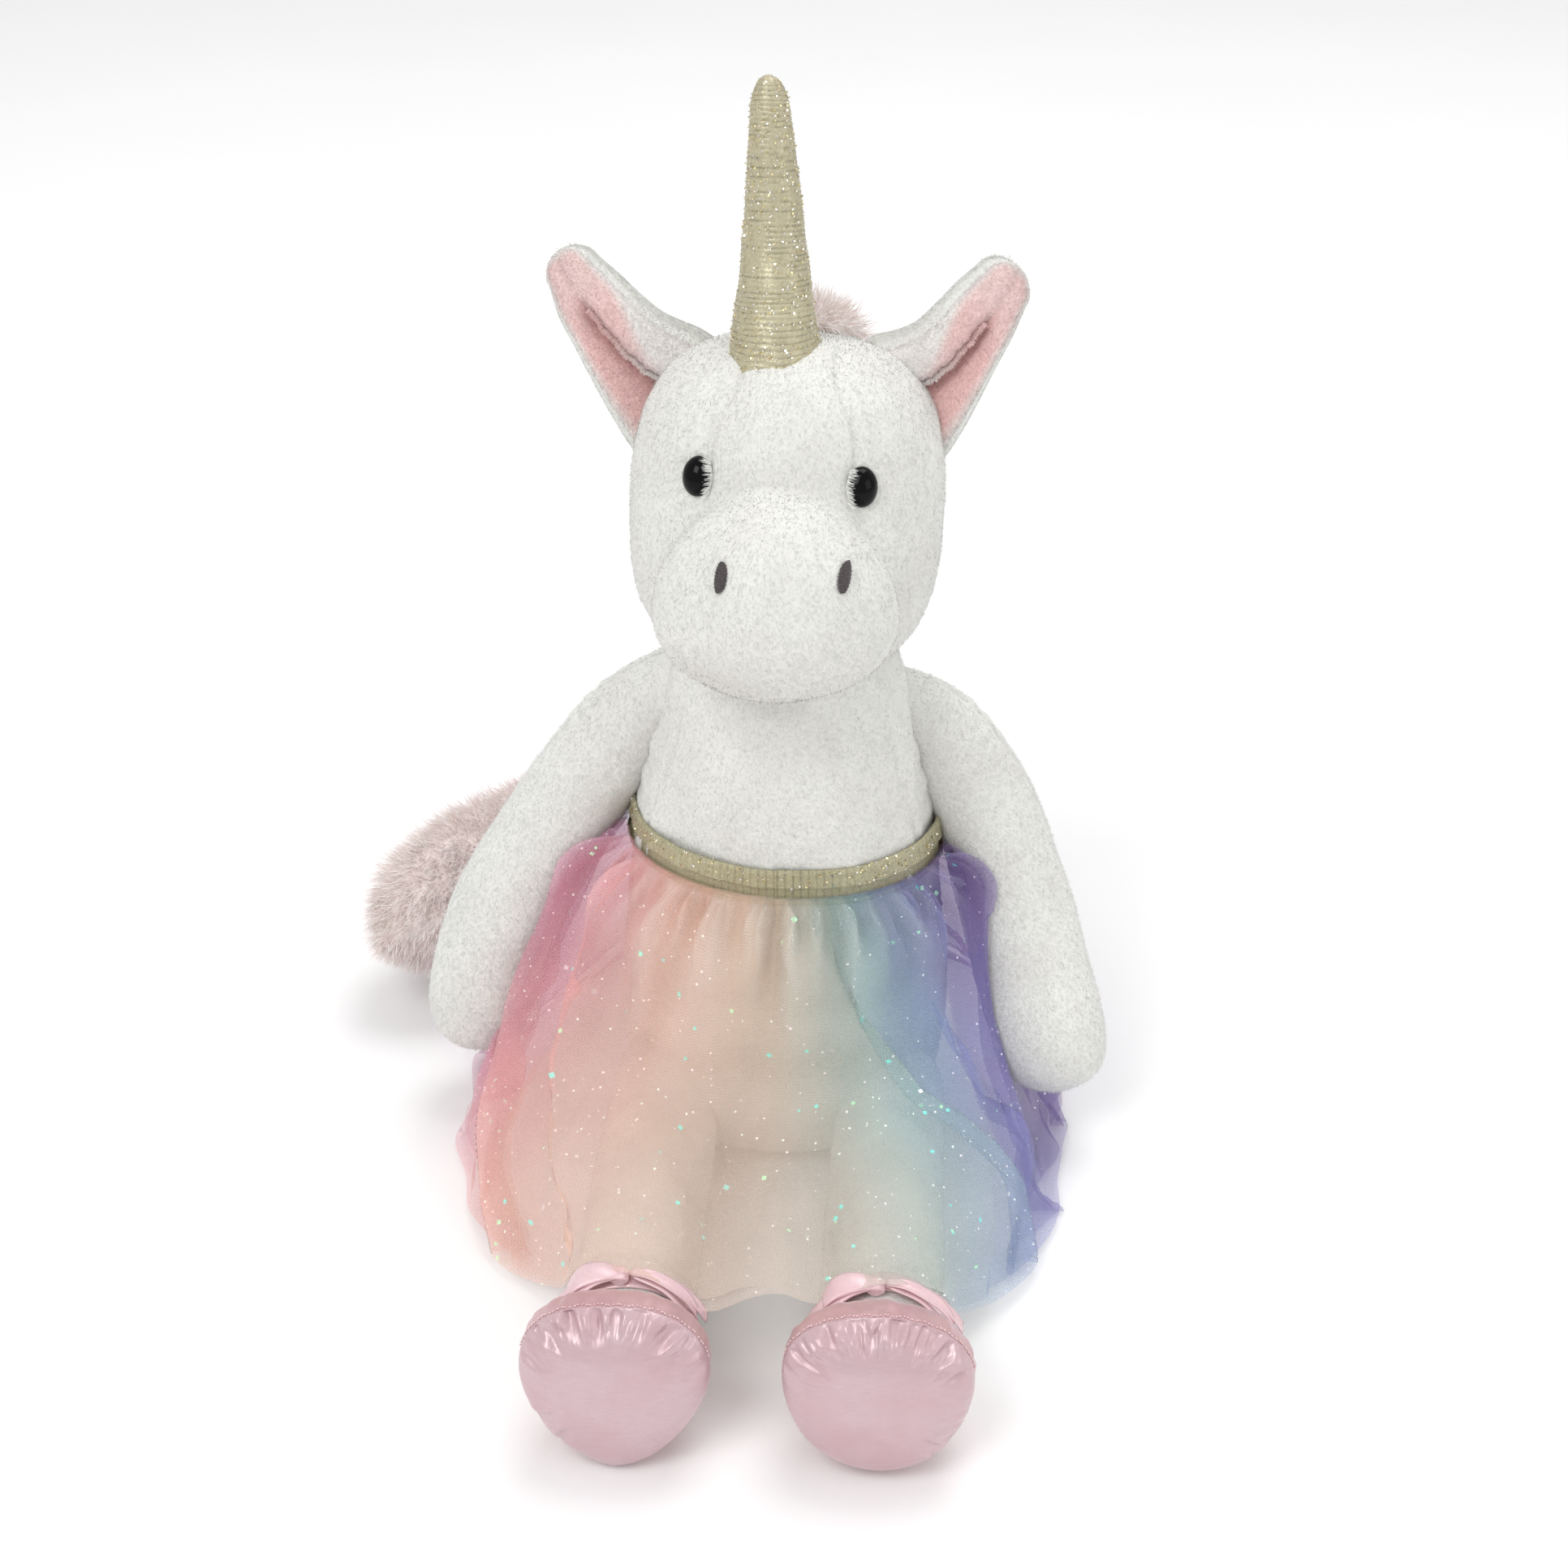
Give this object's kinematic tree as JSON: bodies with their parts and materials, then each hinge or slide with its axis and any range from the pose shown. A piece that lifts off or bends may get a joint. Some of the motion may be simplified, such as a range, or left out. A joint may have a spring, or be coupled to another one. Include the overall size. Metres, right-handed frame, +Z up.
{
  "type": "plush unicorn doll",
  "caption": "Sitting plush unicorn with a knitted horn, soft ears, jointed neck, arms, legs and tail, wearing a gathered tulle skirt and satin slippers.",
  "frame": {"origin": "middle of the flat seat, on the surface the toy sits on", "axes": "+Z up through the horn, the toy faces -Y, and +X is its own left"},
  "size_m": [0.2391, 0.2743, 0.3237],
  "materials": {
    "polyester_fill": "loose white fibre",
    "pellet_bag": "woven bag of plastic pellets",
    "white_plush": "short soft pile",
    "pink_lining": "short pink pile",
    "black_eye": "polished dome",
    "clear_plastic": "moulded washer",
    "grey_thread": "satin-stitch embroidery",
    "gold_lurex": "ribbed knit with metallic thread",
    "pale_pink_pile": "long soft pile",
    "white_tape": "woven tape",
    "rainbow_tulle": "sheer glitter tulle, rainbow from rose through cream and mint to violet",
    "pink_satin": "satin weave"
  },
  "bodies": {
    "torso": {"torso_skin": "white_plush", "torso_stuffing": "polyester_fill", "seat_pellet_bag": "pellet_bag", "skirt_waistband": "gold_lurex", "skirt_outer_tulle": "rainbow_tulle", "skirt_inner_tulle": "rainbow_tulle", "tail_tape": "white_tape"},
    "neck": {"neck_stuffing": "polyester_fill"},
    "head": {"head_skin": "white_plush", "head_stuffing": "polyester_fill", "muzzle_skin": "white_plush", "muzzle_stuffing": "polyester_fill", "left_eye": "black_eye", "left_eye_washer": "clear_plastic", "left_nostril": "grey_thread", "right_eye": "black_eye", "right_eye_washer": "clear_plastic", "right_nostril": "grey_thread", "horn_cover": "gold_lurex", "horn_stuffing": "polyester_fill", "mane": "pale_pink_pile"},
    "left_ear": {"left_ear_back": "white_plush", "left_ear_lining": "pink_lining"},
    "right_ear": {"right_ear_back": "white_plush", "right_ear_lining": "pink_lining"},
    "left_arm": {"left_arm_skin": "white_plush", "left_arm_stuffing": "polyester_fill"},
    "right_arm": {"right_arm_skin": "white_plush", "right_arm_stuffing": "polyester_fill"},
    "left_leg": {"left_leg_skin": "white_plush", "left_leg_stuffing": "polyester_fill", "left_slipper_upper": "pink_satin", "left_foot_stuffing": "polyester_fill", "left_slipper_sole": "pink_satin", "left_ankle_ribbon": "pink_satin", "left_bow_knot": "pink_satin", "left_bow_outer_loop": "pink_satin", "left_bow_outer_tail": "pink_satin", "left_bow_inner_loop": "pink_satin", "left_bow_inner_tail": "pink_satin"},
    "right_leg": {"right_leg_skin": "white_plush", "right_leg_stuffing": "polyester_fill", "right_slipper_upper": "pink_satin", "right_foot_stuffing": "polyester_fill", "right_slipper_sole": "pink_satin", "right_ankle_ribbon": "pink_satin", "right_bow_knot": "pink_satin", "right_bow_outer_loop": "pink_satin", "right_bow_outer_tail": "pink_satin", "right_bow_inner_loop": "pink_satin", "right_bow_inner_tail": "pink_satin"},
    "tail": {"tail_tuft": "pale_pink_pile"}
  },
  "joints": [
    {"name": "neck_turn", "type": "hinge", "parent": "torso", "child": "neck", "pos_m": [0, 0.01251, 0.143], "axis": [0, 0, 1], "range_deg": [-30, 30], "stiffness_Nm_per_rad": 0.6},
    {"name": "head_nod", "type": "hinge", "parent": "neck", "child": "head", "pos_m": [0, 0.01251, 0.143], "axis": [1, 0, 0], "range_deg": [-10, 18], "stiffness_Nm_per_rad": 0.8},
    {"name": "left_ear_flop", "type": "hinge", "parent": "head", "child": "left_ear", "pos_m": [0.03322, 0.03152, 0.22939], "axis": [-0.5387, 0.2181, 0.8138], "range_deg": [-12, 12], "stiffness_Nm_per_rad": 0.03},
    {"name": "right_ear_flop", "type": "hinge", "parent": "head", "child": "right_ear", "pos_m": [-0.03074, 0.03209, 0.23154], "axis": [-0.5961, -0.2078, -0.7755], "range_deg": [-12, 12], "stiffness_Nm_per_rad": 0.03},
    {"name": "left_shoulder", "type": "hinge", "parent": "torso", "child": "left_arm", "pos_m": [0.044, 0.014, 0.13], "axis": [-1, 0, 0], "range_deg": [-15, 90], "stiffness_Nm_per_rad": 0.06, "deforming": ["skirt_outer_tulle", "skirt_inner_tulle"]},
    {"name": "right_shoulder", "type": "hinge", "parent": "torso", "child": "right_arm", "pos_m": [-0.044, 0.014, 0.13], "axis": [-1, 0, 0], "range_deg": [-5, 90], "stiffness_Nm_per_rad": 0.06, "deforming": ["skirt_outer_tulle", "skirt_inner_tulle"]},
    {"name": "left_hip", "type": "hinge", "parent": "torso", "child": "left_leg", "pos_m": [0.03525, -0.044, 0.037], "axis": [-1, 0, 0], "range_deg": [0, 35], "deforming": ["skirt_outer_tulle", "skirt_inner_tulle"]},
    {"name": "right_hip", "type": "hinge", "parent": "torso", "child": "right_leg", "pos_m": [-0.03525, -0.044, 0.037], "axis": [-1, 0, 0], "range_deg": [0, 35], "deforming": ["skirt_outer_tulle", "skirt_inner_tulle"]},
    {"name": "tail_swing", "type": "hinge", "parent": "torso", "child": "tail", "pos_m": [-0.002, 0.0545, 0.111], "axis": [0, 0, 1], "range_deg": [-45, 5], "deforming": ["skirt_outer_tulle", "skirt_inner_tulle"]}
  ]
}
